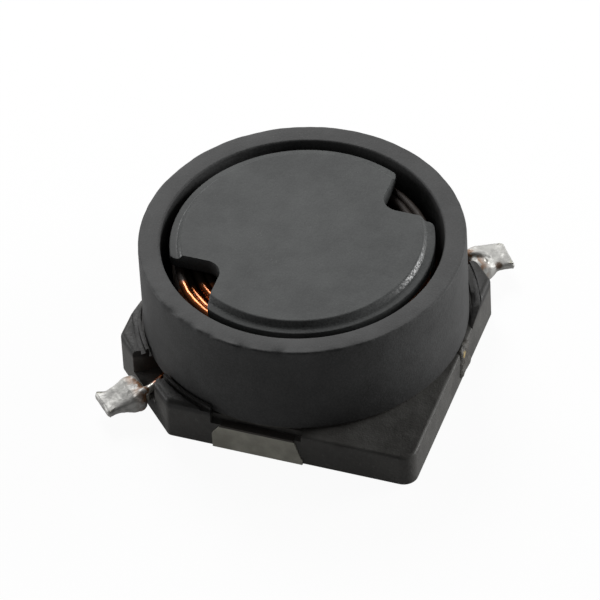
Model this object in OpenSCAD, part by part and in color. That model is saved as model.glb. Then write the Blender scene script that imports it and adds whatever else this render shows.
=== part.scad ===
// Shielded surface-mount power inductor: a wound ferrite drum inside a ferrite ring,
// both glued to a moulded base that carries two lead-frame terminals.
// Millimetres, +Z up. The origin is the middle of the plane that the solder pads rest on.
// Terminal A leaves the corner towards -X -Y. Terminal B is the same thing turned half a turn.

/* [Body] */
// Width of the square base across its flat sides
base_w = 6.9; // [6.8:0.05:7.2]
// Height from the solder pads to the top of the ring
part_h = 3.0; // [2.9:0.05:3.4]
// Height of the base's flat top over the solder pads
base_top = 0.8; // [0.76:0.02:0.84]
// Height of the raised ears over the base's flat top
ear_h = 0.24; // [0.16:0.02:0.3]
// Distance from the middle to the two cut corner faces
cut_reach = 3.76; // [3.72:0.01:3.8]

/* [Ring core] */
// How far the ring's outside stays within the base's flat sides
ring_inset = 0.05; // [0.03:0.01:0.08]
// Wall thickness of the ring
ring_wall = 0.46; // [0.4:0.02:0.5]

/* [Drum core] */
// Radial air gap between the drum's flanges and the ring
core_gap = 0.19; // [0.16:0.01:0.22]
// Thickness of each flange
flange_t = 0.36; // [0.34:0.01:0.38]
// How far the drum's top face stands above the ring's top face
drum_rise = 0.06; // [0.02:0.01:0.08]
// Distance from the middle to the inner end of the two notches
notch_reach = 1.93; // [1.92:0.01:1.95]

/* [Winding] */
// Diameter of the enamelled wire
wire_d = 0.19; // [0.17:0.01:0.2]
// Number of layers, an even number so that both ends leave at the bottom
layers = 4; // [2:2:4]

/* [Terminals] */
// Thickness of the lead-frame sheet
sheet_t = 0.16; // [0.14:0.01:0.17]
// Distance from the middle to the end of each terminal tab
tab_reach = 4.74; // [4.66:0.02:4.86]
// Width of each tab at its flared end
tab_tip_w = 0.82; // [0.76:0.02:0.9]
// Width of each tab at its neck, where the wire is wrapped
tab_neck_w = 0.42; // [0.4:0.02:0.46]

/* [Hidden] */
$fn = 96;

// Directions, in degrees, in which the two terminals leave the body
dir_a = 225;
dir_b = 45;

// Clearances and small thicknesses
cut = 0.5;              // how far cutting shapes run past a surface
slip = 0.005;           // play between the wire and what it lies on
solder_seep = 0.02;     // solder between the wrapped wire and the tab
solder_skin = 0.02;     // solder outside the wrapped wire
turn_play = 0.012;      // air between neighbouring turns of one layer
pad_stand = 0.03;       // how far the pads stand proud of the resin
glue_t = 0.03;          // glue between the ring and the base
seat_glue_t = 0.05;     // glue under the drum
seat_play = 0.08;       // radial play between the drum and its seat
edge_round = 0.07;      // rounding of the top edges of the base
ear_round = 0.11;       // rounding of the top edges of the ears
corner_r = 0.3;         // rounding of the two full corners of the base
cut_round = 0.15;       // rounding of the upright edges of the cut corners

// Heights
floor_z = 0.3;
tab_z = 0.26;
tab_top = tab_z + sheet_t;
drum_z = floor_z + seat_glue_t;
drum_top = part_h + drum_rise;
ring_z = base_top + glue_t;
ear_top = base_top + ear_h;

// Facets of the wire
wire_sides = 6;
bore_sides = 12;        // of the hole that the wire leaves in the solder
segments = 18;          // points in one turn

// Radii
half = base_w / 2;
ring_r = half - ring_inset;
bore_r = ring_r - ring_wall;
flange_r = bore_r - core_gap;
seat_r = flange_r + seat_play;
wire_r = wire_d / 2;
layer_pitch = wire_d + 2 * slip;
coil_inset = 0.12;      // from the flange's edge to the middle of the outer layer's wire
outer_layer_r = flange_r - coil_inset;
inner_layer_r = outer_layer_r - (layers - 1) * layer_pitch;
post_r = inner_layer_r * cos(180 / segments) - wire_r - slip;

// ---------------------------------------------------------------- base

// Outline of the base: square, two corners rounded, two corners cut off
function arc_points(centre, r, from, to, steps) =
    [for (i = [0 : steps]) let (a = from + (to - from) * i / steps) centre + r * [cos(a), sin(a)]];

module base_outline(inset) {
    h = half - inset;
    reach = (cut_reach - inset) * sqrt(2);
    c = h - corner_r;
    e = h - cut_round;
    f = reach - e - cut_round * sqrt(2);
    polygon(concat(
        arc_points([-e, -f], cut_round, 180, 225, 4),
        arc_points([-f, -e], cut_round, 225, 270, 4),
        arc_points([c, -c], corner_r, 270, 360, 8),
        arc_points([e, f], cut_round, 0, 45, 4),
        arc_points([f, e], cut_round, 45, 90, 4),
        arc_points([-c, c], corner_r, 90, 180, 8)));
}

// A block of that outline with its top edge rounded
module eased_block(top, round) {
    hull()
        for (a = [0 : 30 : 90])
            translate([0, 0, pad_stand])
                linear_extrude(top - round * (1 - sin(a)) - pad_stand)
                    base_outline(round * (1 - cos(a)));
}

// Ears: what stands outside the ring next to the cut corners
ear_clear = 0.05;       // between the ring and the locating rib
rib_t = 0.07;           // locating rib that follows the ring
groove_w = 0.11;        // groove behind the rib
groove_depth = 0.1;
ear_start = 0.92;       // where the ears begin, from the middle of a side
ramp_start = 0.6;       // where the ramps up to the side ears begin
ramp_end = 1.3;
ramp_bend = 0.07;       // easing where a ramp reaches the top of its ear

module ear_region() {
    difference() {
        for (a = [0, 180])
            rotate(a)
                translate([-half - cut, -half - cut, 0])
                    cube([half + cut - ear_start, half + cut - ramp_start, ear_top + cut]);
        translate([0, 0, -cut])
            cylinder(r = ring_r + ear_clear, h = part_h);
        translate([0, 0, ear_top - groove_depth])
            difference() {
                cylinder(r = ring_r + ear_clear + rib_t + groove_w, h = part_h);
                translate([0, 0, -cut])
                    cylinder(r = ring_r + ear_clear + rib_t, h = part_h + 2 * cut);
            }
        ear_ramps();
    }
}

// Slopes that bring the side ears up from the base's flat top
module ear_ramps() {
    for (a = [0, 180])
        rotate(a)
            translate([-half - cut, 0, 0])
                rotate([90, 0, 90])
                    linear_extrude(half)
                        polygon([
                            [-ramp_end - ramp_bend, ear_top + slip],
                            [-ramp_end + ramp_bend, ear_top - ramp_bend],
                            [-ramp_start, base_top],
                            [0, base_top],
                            [0, ear_top + cut],
                            [-ramp_end, ear_top + cut]]);
}

// Slot at each cut corner, through which a wire end leaves
slot_w = 0.84;
slot_flare = 0.36;      // widening of the mouth on each side, past the cut corner
slot_mouth = 0.19;      // where the mouth begins, within the cut corner
slot_reach_in = 0.2;    // how far the slot runs in over the drum's seat
module wire_slots() {
    w = slot_w / 2;
    for (a = [dir_a, dir_b])
        rotate(a)
            translate([0, 0, tab_top])
                linear_extrude(part_h)
                    polygon([
                        [seat_r - slot_reach_in, -w], [cut_reach - slot_mouth, -w],
                        [cut_reach + cut, -w - slot_flare], [cut_reach + cut, w + slot_flare],
                        [cut_reach - slot_mouth, w], [seat_r - slot_reach_in, w]]);
}

// Step over each side electrode, which leaves a gap under the ring
plate_left = -0.9;
plate_right = 1.06;
plate_top = 0.66;
window_depth = 0.16;
window_play = 0.02;
module plate_windows() {
    for (a = [0, 180])
        rotate(a)
            translate([plate_left - window_play, -half - cut, plate_top])
                cube([plate_right - plate_left, cut + window_depth, base_top]);
}

module base() {
    color("#34332f")
        difference() {
            union() {
                eased_block(base_top, edge_round);
                intersection() {
                    eased_block(ear_top, ear_round);
                    ear_region();
                }
            }
            translate([0, 0, floor_z])
                cylinder(r = seat_r, h = part_h);
            wire_slots();
            plate_windows();
            lead_frame();
            rotate(180)
                lead_frame();
        }
}

// ---------------------------------------------------------------- terminals

pad_depth = 1.15;       // how far each solder pad reaches in under the base
flare_l = 0.34;         // length of the tab's flared end
tab_chamfer = 0.05;
root_cover = 0.27;      // resin between the drum's seat and the tab's inner end
arm_cover = 0.12;       // resin between the drum's seat and the arm
arm_tuck = 0.18;        // how far the arm's inner edge steps off the tab's middle
arm_step = 0.3;         // how far the arm's outer edge starts outside the tab's inner end
arm_near = 0.7;         // where the arm joins the plate, from the middle of the side
arm_far = 1.3;
arm_skin = 0.15;        // resin outside the arm
tab_root = seat_r + root_cover;
neck_end = tab_reach - flare_l;

// One lead frame: flared tab, arm inside the resin, side electrode and solder pad
module lead_frame() {
    translate([0, 0, tab_z])
        linear_extrude(sheet_t) {
            rotate(dir_a)
                tab_outline();
            arm_outline();
        }
    translate([0, -half - pad_stand + sheet_t, 0])
        rotate([90, 0, 0])
            linear_extrude(sheet_t)
                plate_outline();
    translate([plate_left, -half - pad_stand, 0])
        cube([plate_right - plate_left, pad_depth, sheet_t]);
}

module tab_outline() {
    n = tab_neck_w / 2;
    t = tab_tip_w / 2;
    polygon([
        [tab_root, -n], [neck_end, -n],
        [tab_reach - tab_chamfer, -t], [tab_reach, -t + tab_chamfer],
        [tab_reach, t - tab_chamfer], [tab_reach - tab_chamfer, t],
        [neck_end, n], [tab_root, n]]);
}

module arm_outline() {
    root = tab_root / sqrt(2);
    polygon([
        [-root - arm_step, -root - arm_step], [-root, -root],
        [-root + arm_tuck, -root - arm_tuck],
        [-arm_near, -seat_r - arm_cover], [-arm_near, -half], [-arm_far, -half + arm_skin]]);
}

// Side electrode: its two top corners are cut to different slopes
plate_foot = 0.08;
plate_lean = 0.18;
plate_corner = [0.2, 0.28];
module plate_outline() {
    polygon([
        [plate_left, 0], [plate_right, 0], [plate_right, plate_foot],
        [plate_right - plate_lean, plate_top],
        [plate_left + plate_corner[0], plate_top], [plate_left, plate_top - plate_corner[1]]]);
}

module terminal_a() {
    color("#b9b8b2")
        lead_frame();
}

module terminal_b() {
    color("#b9b8b2")
        rotate(180)
            lead_frame();
}

// ---------------------------------------------------------------- cores

// Half profile of a flange's rim: flat face, bevel, narrow land, wall
rim_bevel_w = 0.11;
rim_land_w = 0.15;
rim_drop = 0.135;
rim_edge = 0.03;
notch_fillet = 0.38;
notch_rim_r = 0.2;      // rounding where a notch meets the rim

module drum_core() {
    inner = flange_r - rim_land_w - rim_bevel_w;
    land = flange_r - rim_land_w;
    color("#565759")
        difference() {
            rotate_extrude()
                polygon([
                    [0, drum_z],
                    [inner, drum_z], [land, drum_z + rim_drop],
                    [flange_r - rim_edge, drum_z + rim_drop],
                    [flange_r, drum_z + rim_drop + rim_edge],
                    [flange_r, drum_z + flange_t],
                    [post_r, drum_z + flange_t],
                    [post_r, drum_top - flange_t],
                    [flange_r, drum_top - flange_t],
                    [flange_r, drum_top - rim_drop - rim_edge],
                    [flange_r - rim_edge, drum_top - rim_drop],
                    [land, drum_top - rim_drop], [inner, drum_top],
                    [0, drum_top]]);
            for (a = [dir_a, dir_b])
                rotate(a) {
                    notch(drum_z - cut, drum_z + flange_t);
                    notch(drum_top - flange_t, drum_top + cut);
                }
        }
}

// Square-cornered notch that opens outwards, with a rounded inner end and rounded rim corners
module notch(from, to) {
    centre = [notch_reach + notch_fillet, 0];
    along = [1, 1] / sqrt(2);
    wall = centre + notch_fillet * [-1, 1] / sqrt(2);
    inset = wall + notch_rim_r * [-1, 1] / sqrt(2);
    lead_in = inset * along;
    reach = flange_r + slip - notch_rim_r;
    run = -lead_in + sqrt(lead_in * lead_in - inset * inset + reach * reach);
    rim_centre = inset + run * along;
    rim_angle = atan2(rim_centre[1], rim_centre[0]);
    side = concat(
        [(flange_r + cut) * [cos(rim_angle), sin(rim_angle)]],
        arc_points(rim_centre, notch_rim_r, rim_angle, -45, 6),
        arc_points(centre, notch_fillet, 135, 180, 5));
    translate([0, 0, from])
        linear_extrude(to - from)
            polygon(concat(
                side,
                [for (i = [len(side) - 2 : -1 : 0]) [side[i][0], -side[i][1]]]));
}

ring_edge = 0.04;       // bevel on the four edges of the ring
module ring_core() {
    color("#4b4d51")
        rotate_extrude()
            polygon([
                [bore_r, ring_z + ring_edge], [bore_r + ring_edge, ring_z],
                [ring_r - ring_edge, ring_z], [ring_r, ring_z + ring_edge],
                [ring_r, part_h - ring_edge], [ring_r - ring_edge, part_h],
                [bore_r + ring_edge, part_h], [bore_r, part_h - ring_edge]]);
}

// ---------------------------------------------------------------- winding

// One wire from terminal to terminal: wrap round tab A, lead in, layers of turns, lead out,
// wrap round tab B. Everything is one list of points that a round section is swept along.
coil_low = drum_z + flange_t + wire_r + slip;
coil_high = drum_top - flange_t - wire_r - slip;
coil_rise = coil_high - coil_low;
turns_per_layer = floor(2 * coil_rise / (wire_d + turn_play)) / 2;
step_turns = 0.5 / (layers - 1);
layer_span = turns_per_layer + step_turns;
total_turns = layers * turns_per_layer + 0.5;

// Radius and height of the wire after a number of turns
function layer_of(t) = min(layers - 1, floor(t / layer_span));
function in_layer(t) = t - layer_of(t) * layer_span;
function stepping(t) = max(0, in_layer(t) - turns_per_layer) / step_turns;
function coil_radius(t) =
    inner_layer_r + layer_pitch * (layer_of(t) + (layer_of(t) < layers - 1 ? stepping(t) : 0));
function climbed(t) = min(1, in_layer(t) / turns_per_layer);
function coil_height(t) =
    layer_of(t) % 2 == 0 ? coil_low + coil_rise * climbed(t) : coil_high - coil_rise * climbed(t);
function coil_point(t) =
    let (a = dir_a + 360 * t) [coil_radius(t) * cos(a), coil_radius(t) * sin(a), coil_height(t)];

coil_steps = ceil(total_turns * segments);
coil_path = [for (i = [0 : coil_steps]) coil_point(total_turns * i / coil_steps)];

// The wrap round a tab, as [along, across, height], from the free end to where the lead starts
wrap_clear = 0.16;      // from the cut corner to the middle of the wrap's first strand
wrap_tail = 0.12;       // where the wrap's free end lies, across the tab
wrap_start = cut_reach + wrap_clear;
wrap_pitch = wire_d + solder_seep;
wrap_gap = wire_r + solder_seep;
wrap_half = tab_neck_w / 2;
lead_z = tab_top + wrap_gap;
function quarter(across, height, from, to) =
    [for (i = [0 : 3])
        let (a = from + (to - from) * i / 3)
        [across + wrap_gap * cos(a), height + wrap_gap * sin(a)]];
wrap_section = concat(
    [[wrap_tail, lead_z]],
    quarter(-wrap_half, tab_top, 90, 180),
    quarter(-wrap_half, tab_z, 180, 270),
    quarter(wrap_half, tab_z, 270, 360),
    quarter(wrap_half, tab_top, 0, 90));
wrap_last = len(wrap_section) - 1;
wrap_path = [for (i = [0 : wrap_last])
    [wrap_start + wrap_pitch * (1 - i / wrap_last), wrap_section[i][0], wrap_section[i][1]]];

// Leads through the slots, as [along, across, height]
lead_a = [
    [wrap_start - 0.15, 0.19, lead_z],
    [wrap_start - 0.3, 0.145, lead_z],
    [wrap_start - 0.52, 0.05, lead_z],
    [wrap_start - 0.77, -0.06, lead_z],
    [inner_layer_r + 0.82, -0.14, lead_z],
    [inner_layer_r + 0.52, -0.19, lead_z + 0.01],
    [inner_layer_r + 0.32, -0.19, lead_z + 0.06],
    [inner_layer_r + 0.15, -0.12, lead_z + 0.16]];
lead_b = [
    [outer_layer_r + 0.04, 0.18, coil_low - 0.06],
    [outer_layer_r + 0.14, 0.27, coil_low - 0.16],
    [outer_layer_r + 0.3, 0.29, lead_z + 0.04],
    [wrap_start - 0.78, 0.27, lead_z],
    [wrap_start - 0.52, 0.22, lead_z],
    [wrap_start - 0.28, 0.18, lead_z],
    [wrap_start - 0.14, 0.2, lead_z]];

// Turns [along, across, height] beside a terminal into the part's own frame
function placed(points, dir) =
    [for (p = points) [p[0] * cos(dir) - p[1] * sin(dir), p[0] * sin(dir) + p[1] * cos(dir), p[2]]];
function reversed(points) = [for (i = [len(points) - 1 : -1 : 0]) points[i]];

end_a = placed(concat(wrap_path, lead_a), dir_a);
end_b = placed(concat(lead_b, reversed(wrap_path)), dir_b);

function unit(v) = v / norm(v);
function tangent(path, i) =
    unit(path[min(i + 1, len(path) - 1)] - path[max(i - 1, 0)]);
function across_to(n, t) = unit(n - (n * t) * t);
// A normal carried along the path with no twist of its own
function carried_normals(path, first) =
    [for (i = 0, n = across_to(first, tangent(path, 0)); i < len(path);
        i = i + 1, n = i < len(path) ? across_to(n, tangent(path, i)) : n) n];

// Tube of a section with that many sides along a path
module swept_wire(path, r, sides) {
    normals = carried_normals(path, [0, 0, 1]);
    rings = [for (i = [0 : len(path) - 1])
        let (t = tangent(path, i), n = normals[i], b = cross(t, n))
        for (k = [0 : sides - 1])
            let (a = 360 * k / sides)
            path[i] + r * (cos(a) * n + sin(a) * b)];
    last = (len(path) - 1) * sides;
    walls = [for (i = [0 : len(path) - 2])
        for (k = [0 : sides - 1])
            let (m = (k + 1) % sides, j = i * sides)
            [j + k, j + sides + k, j + sides + m, j + m]];
    polyhedron(
        rings,
        concat(
            [[for (k = [0 : sides - 1]) k]],
            walls,
            [[for (k = [sides - 1 : -1 : 0]) last + k]]));
}

module winding() {
    color("#b8672f")
        swept_wire(concat(end_a, coil_path, end_b), wire_r, wire_sides);
}

// ---------------------------------------------------------------- solder and glue

solder_reach = wrap_gap + wire_r + solder_skin;     // how far the solder stands round the tab
solder_half = wrap_half + solder_reach;
solder_low = tab_z - solder_reach;
solder_high = tab_top + solder_reach;
solder_bead = 0.15;
solder_end = 0.03;      // solder past the wrap at either end
solder_tongue_h = 0.15; // height of the solder that runs out over the flared end
solder_tip = [0.2, 0.16, 0.04];     // its tip: distance from the tab's end, radius, height
solder_bore_r = wire_r / cos(180 / bore_sides);     // clears the wire's corners at any roll

// Solder over the wrapped neck, thinning out onto the tab's flared end
module solder_mound(lead) {
    near = wrap_start - wire_r - solder_end;
    far = wrap_start + wrap_pitch + wire_r + solder_end;
    difference() {
        union() {
            hull()
                for (x = [near + solder_bead, far - solder_bead],
                    y = [-solder_half + solder_bead, solder_half - solder_bead],
                    z = [solder_low + solder_bead, solder_high - solder_bead])
                    translate([x, y, z])
                        sphere(solder_bead, $fn = 20);
            hull() {
                translate([far - wrap_half, 0, tab_top])
                    cylinder(r = wrap_half, h = solder_tongue_h, $fn = 32);
                translate([tab_reach - solder_tip[0], 0, tab_top])
                    cylinder(r = solder_tip[1], h = solder_tip[2], $fn = 32);
            }
        }
        translate([0, 0, tab_z])
            linear_extrude(sheet_t)
                tab_outline();
        swept_wire(concat(wrap_path, lead), solder_bore_r, bore_sides);
    }
}

module solder_joint_a() {
    color("#cfcfc9")
        rotate(dir_a)
            solder_mound(lead_a);
}

module solder_joint_b() {
    color("#cfcfc9")
        rotate(dir_b)
            solder_mound(reversed(lead_b));
}

// Glue between the drum and the floor of its seat
seat_glue_inset = 0.05;
module core_adhesive() {
    color("#8a6a33")
        translate([0, 0, floor_z])
            cylinder(r = flange_r - rim_land_w - rim_bevel_w - seat_glue_inset, h = seat_glue_t);
}

// Glue under the ring, with the two dabs that run out over the sides
module ring_adhesive() {
    color("#8a6a33")
        difference() {
            union() {
                translate([0, 0, base_top])
                    difference() {
                        cylinder(r = ring_r - ring_edge, h = glue_t);
                        translate([0, 0, -cut])
                            cylinder(r = bore_r + ring_edge, h = glue_t + 2 * cut);
                    }
                for (a = [0, 180])
                    rotate(a)
                        glue_dab();
            }
            wire_slots();
            plate_windows();
            translate([0, 0, ring_z])
                cylinder(r = ring_r, h = part_h);
            eased_block(base_top, edge_round);
        }
}

dab_r = 0.13;
dab_depth = 0.06;       // how far the dab's middle lies within the base's side
dab_low = 0.24;
dab_low_w = 0.54;
dab_high_w = 0.42;
dab_lean = 0.03;
module glue_dab() {
    hull()
        for (y = [-0.5, 0.5]) {
            translate([half - dab_depth, y * dab_low_w, dab_low])
                sphere(dab_r, $fn = 20);
            translate([half - dab_depth - dab_lean, y * dab_high_w, base_top])
                sphere(dab_r, $fn = 20);
        }
}

base();
terminal_a();
terminal_b();
drum_core();
winding();
ring_core();
core_adhesive();
ring_adhesive();
solder_joint_a();
solder_joint_b();
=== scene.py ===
"""Looks of a shielded surface-mount inductor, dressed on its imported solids.

Pieces are shaped in millimetres in the part's own frame, +Z up, and published in metres.
Terminal A leaves the body towards -X -Y, and terminal B is the same thing half a turn on.
"""

import logging
import math
from abc import ABC, abstractmethod
from dataclasses import dataclass
from enum import Enum
from typing import Callable, Iterator, Mapping, Sequence

import bmesh
import bpy
from mathutils import Matrix, Vector, noise


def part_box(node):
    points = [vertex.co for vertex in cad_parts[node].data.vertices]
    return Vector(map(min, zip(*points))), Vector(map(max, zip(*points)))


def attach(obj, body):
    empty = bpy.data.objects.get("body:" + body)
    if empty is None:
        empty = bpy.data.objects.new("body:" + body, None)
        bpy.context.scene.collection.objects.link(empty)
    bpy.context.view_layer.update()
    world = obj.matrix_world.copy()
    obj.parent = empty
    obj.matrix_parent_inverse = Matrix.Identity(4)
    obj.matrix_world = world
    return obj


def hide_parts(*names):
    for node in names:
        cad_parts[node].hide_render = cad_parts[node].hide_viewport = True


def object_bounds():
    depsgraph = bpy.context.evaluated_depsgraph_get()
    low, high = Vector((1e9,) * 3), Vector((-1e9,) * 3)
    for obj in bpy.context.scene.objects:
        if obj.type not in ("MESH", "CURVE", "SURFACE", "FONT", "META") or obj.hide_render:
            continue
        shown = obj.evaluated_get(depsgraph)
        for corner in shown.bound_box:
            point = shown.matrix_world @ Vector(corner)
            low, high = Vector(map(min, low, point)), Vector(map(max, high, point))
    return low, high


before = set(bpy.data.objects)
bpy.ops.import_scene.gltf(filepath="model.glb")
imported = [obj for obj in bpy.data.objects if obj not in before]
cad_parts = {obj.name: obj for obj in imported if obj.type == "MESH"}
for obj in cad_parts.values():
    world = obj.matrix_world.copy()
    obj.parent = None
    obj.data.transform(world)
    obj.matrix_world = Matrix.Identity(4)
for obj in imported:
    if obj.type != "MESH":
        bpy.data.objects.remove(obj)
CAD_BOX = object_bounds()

LOG = logging.getLogger("inductor")
MM = 0.001
Point = tuple[float, float]
Place = tuple[float, float, float]
Colour = tuple[float, float, float]
Wave = tuple[float, float, float]


# ------------------------------------------------------------------ shader maths


class Signal:
    """An output socket of a node tree, on which arithmetic adds Math nodes."""

    def __init__(self, graph: "Graph", socket: bpy.types.NodeSocket | None) -> None:
        """Wraps a socket.

        Args:
            graph: The node tree that the socket belongs to.
            socket: The output socket, or None for a node that has none.
        """
        self.graph = graph
        self.socket = socket

    def __add__(self, other: "Signal | float") -> "Signal":
        """Sum."""
        return self.graph.maths("ADD", self, other)

    def __sub__(self, other: "Signal | float") -> "Signal":
        """Difference."""
        return self.graph.maths("SUBTRACT", self, other)

    def __rsub__(self, other: float) -> "Signal":
        """A number minus this."""
        return self.graph.maths("SUBTRACT", other, self)

    def __mul__(self, other: "Signal | float") -> "Signal":
        """Product."""
        return self.graph.maths("MULTIPLY", self, other)

    __radd__ = __add__
    __rmul__ = __mul__

    def between(self, low: float, high: float) -> "Signal":
        """Rises smoothly from 0 at low to 1 at high, or falls where low is the larger.

        Args:
            low: The value that gives 0.
            high: The value that gives 1.

        Returns:
            The stretched value.
        """
        return self.graph.node(
            "ShaderNodeMapRange",
            {"interpolation_type": "SMOOTHSTEP"},
            {"Value": self, "From Min": low, "From Max": high},
        )


class Graph:
    """The node tree of one material or of the world."""

    def __init__(self, tree: bpy.types.NodeTree) -> None:
        """Takes over a node tree and empties it.

        Args:
            tree: The node tree.
        """
        self.tree = tree
        self.tree.nodes.clear()

    def node(
        self,
        kind: str,
        settings: Mapping[str, object] | None = None,
        sockets: Mapping[str | int, object] | None = None,
        output: str | int = 0,
    ) -> Signal:
        """Makes one node and gives one of its outputs.

        Args:
            kind: The node's type.
            settings: Properties that are set first.
            sockets: Values or signals for the input sockets, by name or number.
            output: The output socket that is wanted.

        Returns:
            That output.
        """
        made = self.tree.nodes.new(kind)
        for name, value in (settings or {}).items():
            setattr(made, name, value)
        for key, value in (sockets or {}).items():
            if isinstance(value, Signal):
                self.tree.links.new(value.socket, made.inputs[key])
            else:
                made.inputs[key].default_value = value
        return Signal(self, made.outputs[output] if made.outputs else None)

    def maths(self, operation: str, *values: Signal | float) -> Signal:
        """One Math node on numbers and signals."""
        return self.node("ShaderNodeMath", {"operation": operation}, dict(enumerate(values)))

    def vector_maths(
        self, operation: str, sockets: Mapping[str | int, object], output: str | int = 0
    ) -> Signal:
        """One Vector Math node."""
        return self.node("ShaderNodeVectorMath", {"operation": operation}, sockets, output)

    def ray(self, kind: str) -> Signal:
        """1 for rays of one kind, such as "Camera", and 0 for the others."""
        return self.node("ShaderNodeLightPath", output=f"Is {kind} Ray")

    def place(self) -> Signal:
        """The point on the surface, in millimetres in the part's frame."""
        raw = self.node("ShaderNodeTexCoord", output="Object")
        return self.vector_maths("SCALE", {0: raw, "Scale": 1.0 / MM})

    def along(self, axis: str) -> Signal:
        """One coordinate of the point on the surface, in millimetres."""
        return self.node("ShaderNodeSeparateXYZ", sockets={0: self.place()}, output=axis)

    def from_axis(self) -> Signal:
        """Distance of the point on the surface from the vertical axis, in millimetres."""
        flat = self.vector_maths("MULTIPLY", {0: self.place(), 1: (1.0, 1.0, 0.0)})
        return self.vector_maths("LENGTH", {0: flat}, "Value")

    def grain(
        self, size: float, detail: float = 3.0, harsh: float = 0.55, shift: float = 0.0
    ) -> Signal:
        """Noise from 0 to 1.

        Args:
            size: Width of its largest blotches, in millimetres.
            detail: How many finer octaves it has.
            harsh: How strong the finer octaves are.
            shift: Moves the pattern, so that two of one size differ.

        Returns:
            The noise.
        """
        moved = self.vector_maths("ADD", {0: self.place(), 1: (shift, shift, -shift)})
        return self.node(
            "ShaderNodeTexNoise",
            None,
            {"Vector": moved, "Scale": 1.0 / size, "Detail": detail, "Roughness": harsh},
        )

    def pits(self, size: float) -> Signal:
        """Distance from the nearest of many scattered points, 0 at each of them."""
        return self.node(
            "ShaderNodeTexVoronoi", None, {"Vector": self.place(), "Scale": 1.0 / size}, "Distance"
        )

    def around(self, spot: Place, radius: float) -> Signal:
        """A ragged patch round one point of the part.

        Args:
            spot: The point, in millimetres.
            radius: The patch's mean radius, in millimetres.

        Returns:
            1 in the patch and 0 outside it.
        """
        ragged = self.grain(0.06, detail=2.0, harsh=0.6, shift=21.0) * radius + radius * 0.5
        reach = self.vector_maths("DISTANCE", {0: self.place(), 1: spot}, "Value")
        return (ragged - reach).between(-radius * 0.5, radius * 0.5)

    def blend(self, mask: Signal | float, first: Signal | Colour, second: Signal | Colour) -> Signal:
        """Mixes two colours, where mask 0 gives the first and 1 the second."""
        a, b = (c if isinstance(c, Signal) else (*c, 1.0) for c in (first, second))
        return self.node("ShaderNodeMix", {"data_type": "RGBA"}, {0: mask, 6: a, 7: b}, 2)

    def relief(self, height: Signal, depth: float, under: Signal | None = None) -> Signal:
        """Bumps.

        Args:
            height: Height from 0 to 1.
            depth: What a height of 1 stands for, in millimetres.
            under: Bumps that these are added to.

        Returns:
            The bent normal.
        """
        sockets = {"Height": height, "Strength": 1.0, "Distance": depth * MM}
        if under is not None:
            sockets["Normal"] = under
        return self.node("ShaderNodeBump", None, sockets)

    def principled(self, **sockets: object) -> Signal:
        """A Principled shader.

        Args:
            sockets: Values or signals by the sockets' names, with words joined by _. A colour
                may be given without its alpha.

        Returns:
            The shader.
        """
        named = {key.replace("_", " "): value for key, value in sockets.items()}
        for key, value in named.items():
            if isinstance(value, tuple) and len(value) == 3:
                named[key] = (*value, 1.0)
        return self.node("ShaderNodeBsdfPrincipled", None, named)


# ------------------------------------------------------------------ finishes


class Finish(ABC):
    """A surface finish, made into a material once and shared by the pieces that have it."""

    name: str

    @abstractmethod
    def shade(self, graph: Graph) -> Signal:
        """Builds the finish's nodes and returns its shader."""

    def material(self) -> bpy.types.Material:
        """The finish's material, made at its first use.

        Returns:
            The material.
        """
        if self not in MADE:
            made = bpy.data.materials.new(self.name)
            made.use_nodes = True
            graph = Graph(made.node_tree)
            graph.node("ShaderNodeOutputMaterial", None, {"Surface": self.shade(graph)})
            MADE[self] = made
        return MADE[self]


MADE: dict[Finish, bpy.types.Material] = {}


@dataclass(frozen=True)
class SinteredFerrite(Finish):
    """Ground ferrite: dull grey, finely pitted, faintly mottled.

    A ring of it, from one radius to another, is burnished by wear. Sizes are in millimetres.
    """

    name: str
    dark: Colour
    light: Colour
    worn_from: float = 0.0
    worn_to: float = 0.0
    wear_blend: float = 0.02
    speck: Colour = (0.22, 0.22, 0.215)
    speck_size: float = 0.06
    speck_share: float = 0.4
    blotch: float = 0.9
    blotch_share: float = 0.45
    grit: float = 0.045
    wave: float = 0.35
    pit_depth: float = 0.0045
    wave_depth: float = 0.008
    gloss: float = 0.3
    smoothest: float = 0.54
    grit_rough: float = 0.24
    worn_rough: float = 0.3

    def shade(self, graph: Graph) -> Signal:
        """Mottled grey with pale grains, pits, long shallow waves and a burnished ring.

        Args:
            graph: The material's nodes.

        Returns:
            The shader.
        """
        mottle = graph.grain(self.blotch, detail=5.0, harsh=0.6).between(0.3, 0.7)
        fine = graph.grain(self.grit, detail=2.0, harsh=0.6, shift=3.0)
        thin = graph.grain(0.3, detail=2.0, harsh=0.5, shift=7.0).between(0.45, 0.7)
        specks = graph.pits(self.speck_size).between(0.22, 0.05) * thin
        speckle = fine.between(0.32, 0.68) * (1.0 - self.blotch_share)
        grey = graph.blend(mottle * self.blotch_share + speckle, self.dark, self.light)
        radius = graph.from_axis()
        worn = radius.between(self.worn_from - self.wear_blend, self.worn_from)
        worn = worn * radius.between(self.worn_to + self.wear_blend, self.worn_to)
        rubbed = graph.grain(0.05, detail=2.0, harsh=0.6, shift=13.0).between(0.35, 0.65)
        waves = graph.relief(graph.grain(self.wave, detail=2.0), self.wave_depth)
        return graph.principled(
            Base_Color=graph.blend(specks * self.speck_share, grey, self.speck),
            Roughness=fine * self.grit_rough + self.smoothest,
            Specular_IOR_Level=self.gloss,
            Coat_Weight=worn * rubbed,
            Coat_Roughness=self.worn_rough,
            Normal=graph.relief(fine, self.pit_depth, waves),
        )


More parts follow.
